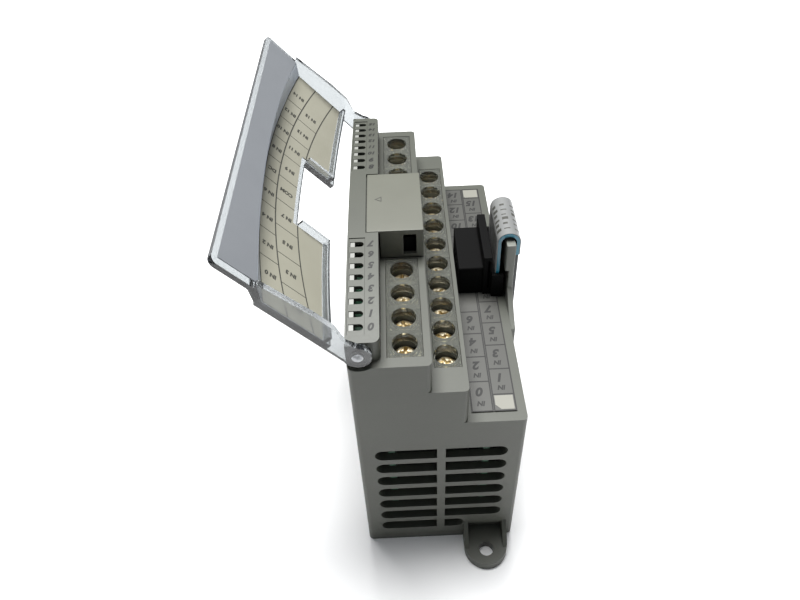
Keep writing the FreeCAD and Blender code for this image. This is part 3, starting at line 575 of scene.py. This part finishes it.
pitch = 7.62 * mm
card_step = 1.15 * pitch
word_size = 1.15
outer_words_start, inner_words_start = 10 * mm, 5.5 * mm
outer_lines_start, inner_lines_back = 14.5 * mm, 4.5 * mm
card_words = []
for count, label in enumerate(("IN 0", "IN 2", "IN 4", "IN 6", "DC", "IN 8", "IN 10", "IN 12", "IN 14")):
    y = -half_length + outer_words_start + count * card_step
    card_words.append((label, word_size, on_door((card_edge(y) + first_arc(y)) / 2, y)))
for count, label in enumerate(("IN 1", "IN 3", "IN 5", "IN 7", "COM", "IN 9", "IN 11", "IN 13", "IN 15")):
    y = -half_length + inner_words_start + count * card_step
    s = (first_arc(y) + cell_start(y)) / 2
    card_words.append((label, word_size, on_door(s, y)))
print_words("door_card_words", card_words, ink_grey, "door", 0.1)


def cell_line(name, y, s_from, s_to):
    """A short printed line between two arcs, at one place along the door."""
    half = 0.08 * mm
    door_sheet(name, flat_line(s_from), flat_line(s_to), y - half, y + half, ink_grey, ink_depth, ink_thick,
               6)


for count in range(8):
    y = -half_length + outer_lines_start + count * card_step
    cell_line(f"outer_cell_line_{count}", y, first_arc(y), card_edge(y))
    y -= inner_lines_back
    cell_line(f"inner_cell_line_{count}", y, cell_start(y), first_arc(y))
print("words on the card:", len(card_words))

# %% [markdown]
# ## The terminal label
# Beside the lower terminals lies a printed label: two columns of outlined cells, one per terminal, each with
# a number and two letters, and a white field at each end of the outer column. The lines and fields are thin
# ink on the label's film.


# %% Label with its cells
def add_slab(grid, low, high):
    made = bmesh.ops.create_cube(grid, size=1.0)
    for vert in made["verts"]:
        for i in range(3):
            vert.co[i] = low[i] if vert.co[i] < 0 else high[i]


dress("shelf_label", label_grey)
ink_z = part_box("shelf_label")[1].z
stroke = 0.3 * mm
inner_x = (case_low.x + 27.6 * mm, case_low.x + 32.5 * mm)
outer_x = (case_low.x + 32.9 * mm, case_low.x + 38.0 * mm)
label_end = 42.3 * mm
inner_start, outer_start = -half_length + 11.2 * mm, -half_length + 7.3 * mm
outer_pitch = 7.55 * mm
inner_ys = [-label_end] + [inner_start + k * pitch for k in range(10)] + [label_end]
outer_ys = [-label_end] + [outer_start + k * outer_pitch for k in range(11)] + [label_end]


def cell_frames(grid, xs, ys):
    z0, z1 = ink_z, ink_z + ink_thick
    for y in ys:
        add_slab(grid, (xs[0], y - stroke / 2, z0), (xs[1], y + stroke / 2, z1))
    for x in xs:
        lift = 0.2 * ink_thick
        add_slab(grid, (x - stroke / 2, ys[0], z0 + lift), (x + stroke / 2, ys[-1], z1 + lift))


lines = bmesh.new()
cell_frames(lines, inner_x, inner_ys)
cell_frames(lines, outer_x, outer_ys)
new_piece("label_lines", lines, ink_black, "root")


def white_field(name, y0, y1, chamfer):
    grid = bmesh.new()
    inset = 0.35 * mm
    x0, x1 = outer_x[0] + inset, outer_x[1] - inset
    y0, y1 = y0 + inset, y1 - inset
    cut = chamfer * mm
    outline = [(x0 + cut, y0), (x1, y0), (x1, y1), (x0, y1), (x0, y0 + cut)]
    verts = [grid.verts.new((x, y, ink_z)) for x, y in outline]
    made = bmesh.ops.extrude_face_region(grid, geom=[grid.faces.new(verts)])
    raised = [v for v in made["geom"] if isinstance(v, bmesh.types.BMVert)]
    bmesh.ops.translate(grid, verts=raised, vec=(0, 0, ink_thick))
    return new_piece(name, grid, label_white, "root")


white_field("label_field_near", outer_ys[0], outer_ys[1], 1.3)
white_field("label_field_far", outer_ys[-2], outer_ys[-1], 0.4)
label_words = []
inner_text = ["0", "2", "4", "6", "", "", "", "", "10", "12", "14"]
outer_text = ["1", "3", "5", "7", "C", "8", "9", "11", "13", "15"]
for xs, ys, texts in ((inner_x, inner_ys, inner_text), (outer_x, outer_ys[1:-1], outer_text)):
    for (y0, y1), text in zip(zip(ys, ys[1:]), texts):
        for word, height_mm, share in ((text, 2.3, 0.66), ("IN", 1.25, 0.26)):
            if text:
                spot = Vector(((xs[0] + xs[1]) / 2, y0 + (y1 - y0) * share, ink_z + ink_thick / 2))
                label_words.append((word, height_mm, Matrix.Translation(spot) @ half_turn))
print_words("label_words", label_words, ink_black, "root")
print("label cells:", len(inner_ys) + len(outer_ys) - 2)

# %% [markdown]
# ## Terminal screws
# Each terminal has a captive screw with a low domed head and a recess that takes a cross or a flat driver.
# The head is a round grid of points: the dome gives each point its height, and the two arms of the recess
# push it down, with sloping walls as a punch leaves them. It is copied to every screw of the CAD model,
# each turned to where a hand left it.


# %% One screw as a round grid
dome = ((0.0, 0.0), (0.45, -0.02), (0.75, -0.09), (0.92, -0.2), (1.0, -0.36))


def dome_height(share):
    """The fall of the dome at a share of its radius, in shares of the head's depth."""
    for (r0, z0), (r1, z1) in zip(dome, dome[1:]):
        if share <= r1:
            return z0 + (z1 - z0) * (share - r0) / (r1 - r0)
    return dome[-1][1]


def recess_fall(x, y):
    """How deep the driver recess is at a place, in shares of the head's radius."""
    deepest = 0.0
    for along, across, half_length_share in ((x, y, 0.78), (y, x, 0.6)):
        side = min(max((0.17 - abs(across)) / 0.07, 0.0), 1.0)
        end = min(max((half_length_share - abs(along)) / 0.12, 0.0), 1.0)
        deepest = max(deepest, 0.42 * side * end)
    return deepest


def screw_grid(radius, depth, shank_radius, shank_length):
    grid = bmesh.new()
    steps, rounds = 72, 20
    turns = [2 * math.pi * k / steps for k in range(steps)]
    rings = []
    for ring in range(1, rounds + 1):
        share = ring / rounds
        line = []
        for a in turns:
            x, y = share * math.cos(a), share * math.sin(a)
            z = dome_height(share) * depth - recess_fall(x, y) * radius
            line.append(grid.verts.new((x * radius, y * radius, z)))
        rings.append(line)
    for r, z in ((radius, -0.9 * depth), (radius * 0.94, -depth), (shank_radius, -depth),
                 (shank_radius, -depth - shank_length)):
        rings.append([grid.verts.new((r * math.cos(a), r * math.sin(a), z)) for a in turns])
    centre = grid.verts.new((0, 0, -recess_fall(0, 0) * radius))
    tip = grid.verts.new((0, 0, -depth - shank_length))
    for k in range(steps):
        n = (k + 1) % steps
        grid.faces.new((centre, rings[0][k], rings[0][n]))
        grid.faces.new((tip, rings[-1][n], rings[-1][k]))
        for upper, lower in zip(rings, rings[1:]):
            grid.faces.new((upper[k], lower[k], lower[n], upper[n]))
    mesh = bpy.data.meshes.new("screw")
    grid.to_mesh(mesh)
    grid.free()
    return mesh


def place_screws(node):
    boxes = islands(node)
    low, high = boxes[0]
    radius = (high.x - low.x) / 2
    head_depth, recess_depth = 2.0 * mm, 1.5 * mm
    mesh = screw_grid(radius, head_depth, recess_depth, high.z - low.z - head_depth)
    grid = bmesh.new()
    for low, high in boxes:
        copy = mesh.copy()
        turn = Matrix.Rotation(draw.uniform(0, math.pi), 4, "Z")
        middle = ((low.x + high.x) / 2, (low.y + high.y) / 2, high.z)
        copy.transform(Matrix.Translation(middle) @ turn)
        grid.from_mesh(copy)
        bpy.data.meshes.remove(copy)
    piece = new_piece(node + "_piece", grid, screw_nickel, "root")
    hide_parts(node)
    return len(boxes)


print("screws:", {node: place_screws(node) for node in ("near_upper_screws", "far_upper_screws", "lower_screws")})

# %% [markdown]
# ## The flat cable
# A short flexible lead joins this module to the next one. It is a stack of films: a jacket over flat
# conductors, a teal polyimide liner at the turn, and a pale printed film outside. The jacket is painted near
# black, as painted shade for the lead's drop beside the guide. The plug stands on the label, and the lead
# turns over the guide and goes down into the case. All layers are swept along one path, and faint ribs show
# the conductors.

# %% The path of the cable
lead_low, lead_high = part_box("ribbon_cable")
film_low, film_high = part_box("cable_film")
lead_thick = 0.9 * mm
cad_film_out = 0.75 * mm
bend_r = (film_high.x - film_low.x) / 2 - cad_film_out
arch_x = (film_low.x + film_high.x) / 2
arch_z = film_high.z - cad_film_out - bend_r
film_out = lead_thick / 2 + 0.28 * mm
rib = 0.07 * mm
rib_columns = 6
liner_side, liner_depth = 0.12 * mm, 0.8 * mm
entry_r = 2.0 * mm
entry_run = 6 * mm
rise_steps, turn_steps, drop_steps, entry_steps = 8, 24, 10, 8
entry_z = lead_low.z + lead_thick / 2
lead_start_z = 58.0 * mm


def lead_path(low_z, to_entry):
    """Points of the lead's middle with the direction that faces outwards."""
    path = [(arch_x - bend_r, low_z + (arch_z - low_z) * k / rise_steps, -1.0, 0.0) for k in range(rise_steps)]
    for k in range(turn_steps + 1):
        a = math.pi - math.pi * k / turn_steps
        path.append((arch_x + bend_r * math.cos(a), arch_z + bend_r * math.sin(a), math.cos(a), math.sin(a)))
    drop_x = arch_x + bend_r
    drop_z = entry_z + entry_r if to_entry else low_z
    path += [(drop_x, arch_z + (drop_z - arch_z) * k / drop_steps, 1.0, 0.0) for k in range(1, drop_steps + 1)]
    if to_entry:
        for k in range(1, entry_steps + 1):
            a = -math.pi / 2 * k / entry_steps
            across, down = math.cos(a), math.sin(a)
            path.append((drop_x - entry_r + entry_r * across, drop_z + entry_r * down, across, down))
        path.append((path[-1][0] - entry_run, entry_z, 0.0, -1.0))
    return path


def swept_strip(name, path, y0, y1, inner, outer, ribs, material):
    """A strip of the path between two offsets, with rounded ribs across its width."""
    columns = ribs * rib_columns if ribs else 8
    grid = bmesh.new()
    layers = []
    for offset, sign in ((outer, 1), (inner, -1)):
        layer = []
        for x, z, nx, nz in path:
            line = []
            for j in range(columns + 1):
                swell = rib * (abs(math.sin(math.pi * j / rib_columns)) - 1) if ribs else 0.0
                reach = offset + sign * swell
                line.append(grid.verts.new((x + nx * reach, y0 + (y1 - y0) * j / columns, z + nz * reach)))
            layer.append(line)
        layers.append(layer)
    close_layers(grid, layers, len(path) - 1, columns)
    return new_piece(name, grid, material, "root")


lead = swept_strip("flat_lead", lead_path(lead_start_z, True), lead_low.y, lead_high.y, -lead_thick / 2,
                   lead_thick / 2, 15, lead_painted_shade)
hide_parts("ribbon_cable")
# The pale film stops two steps past the turn, and the liner starts halfway up the rise.
cover_path = lead_path(film_low.z, False)[:2 - drop_steps]
liner_path = cover_path[rise_steps // 2:]
cover = swept_strip("flat_lead_cover", cover_path, film_low.y, film_high.y, lead_thick / 2, film_out, 0, film_pale)
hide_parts("cable_film")
swept_strip("flat_lead_liner", liner_path, film_low.y - liner_side, film_high.y, lead_thick / 2 - liner_depth,
            lead_thick / 2, 0, film_teal)
print("lead: bend radius", round(bend_r / mm, 2), "mm; top at", round((arch_z + bend_r) / mm, 1), "mm")


# %% Print on the cable's film
mark_thick = 0.02 * mm
mark_edge, mark_step, mark_stray = 2.0, 1.9, 0.1


def film_mark(grid, start, stop, y0, y1):
    """A thin printed bar on the film, from one path point to another."""
    layers = []
    for offset in (film_out + mark_thick, film_out):
        layers.append([[grid.verts.new((x + nx * offset, y, z + nz * offset)) for y in (y0, y1)]
                       for x, z, nx, nz in cover_path[start:stop + 1]])
    close_layers(grid, layers, stop - start, 1)


marks = bmesh.new()
for row, (start, stop) in enumerate(((5, 9), (11, 15), (17, 21), (24, 28))):
    for column in range(6):
        y0 = film_low.y + (mark_edge + column * mark_step + draw.uniform(-mark_stray, mark_stray)) * mm
        film_mark(marks, start, stop - column % 2, y0, y0 + draw.choice((0.35, 0.7, 1.0)) * mm)
new_piece("cable_print", marks, ink_grey, "root")

# %% [markdown]
# ## A mark on the port cover
# A small outlined triangle lies on the port cover. It shows which way the next module's lead goes.

# %% Triangle outline
mark_at = Vector((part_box("port_cover")[0].x + 3.1 * mm, 0.6 * mm, 0))
mark_size = 1.2 * mm
mark_w = 0.62
triangle = bmesh.new()
loops = []
for scale in (1.0, mark_w):
    ring = []
    for k in range(3):
        a = 2 * math.pi * k / 3
        ring.append(mark_at + Vector((-math.cos(a), math.sin(a), 0)) * mark_size * scale)
    loops.append(ring)
tri_layers = []
for rise in (0.04 * mm, -0.05 * mm):
    tri_layers.append([[triangle.verts.new((p.x, p.y, face_height(p.y) + rise)) for p in ring]
                       for ring in loops])
for k in range(3):
    n = (k + 1) % 3
    (top_out, top_in), (low_out, low_in) = tri_layers
    triangle.faces.new((top_out[k], top_out[n], top_in[n], top_in[k]))
    triangle.faces.new((low_out[k], low_in[k], low_in[n], low_out[n]))
    triangle.faces.new((top_out[k], low_out[k], low_out[n], top_out[n]))
    triangle.faces.new((top_in[k], top_in[n], low_in[n], low_in[k]))
new_piece("cover_mark", triangle, ink_grey, "port_cover")

# %% [markdown]
# ## Light, floor and camera
# A wide soft light hangs over the far half of the module, so the upper faces are bright and the near end is
# darker. The floor is pale and plain. The camera looks down along the case from the near end.

# %% Floor and light
floor_mesh = bpy.data.meshes.new("floor")
floor_grid = bmesh.new()
bmesh.ops.create_grid(floor_grid, x_segments=1, y_segments=1, size=3.0)
floor_grid.to_mesh(floor_mesh)
floor_grid.free()
floor = bpy.data.objects.new("floor", floor_mesh)
bpy.context.scene.collection.objects.link(floor)
floor_paint, _ = start_material("pale_floor", Base_Color=colour("#fcfcfc"), Roughness=0.9)
floor_mesh.materials.append(floor_paint)


def soft_light(name, spot, target, size, power):
    lamp = bpy.data.lights.new(name, "AREA")
    lamp.shape = "SQUARE"
    lamp.size = size
    lamp.energy = power
    holder = bpy.data.objects.new(name, lamp)
    holder.location = spot
    holder.rotation_euler = (Vector(target) - Vector(spot)).to_track_quat("-Z", "Y").to_euler()
    bpy.context.scene.collection.objects.link(holder)
    return holder


soft_light("overhead_light", (-0.05, 0.17, 0.88), (0, 0, 0.04), 0.42, 15.5)
world = bpy.data.worlds.new("studio")
world.use_nodes = True
world.node_tree.nodes["Background"].inputs["Color"].default_value = (0.9, 0.95, 1.0, 1.0)
world.node_tree.nodes["Background"].inputs["Strength"].default_value = 0.2
bpy.context.scene.world = world
bpy.context.scene.view_settings.view_transform = "Standard"

# %% Camera
camera_data = bpy.data.cameras.new("camera")
camera_data.sensor_width = 36.0
camera_data.lens = 31.3
camera_data.shift_x = -0.0105
camera_data.shift_y = -0.0689
camera_data.clip_start = 0.01
camera = bpy.data.objects.new("camera", camera_data)
look = Vector((0.00911, 0.74130, -0.67111)).normalized()
up = Vector((0.04334, 0.67021, 0.74090))
right = look.cross(up).normalized()
up = right.cross(look)
camera.matrix_world = Matrix((
    (right.x, up.x, -look.x, -0.00735), (right.y, up.y, -look.y, -0.13633), (right.z, up.z, -look.z, 0.19516),
    (0, 0, 0, 1)))
bpy.context.scene.collection.objects.link(camera)
bpy.context.scene.camera = camera
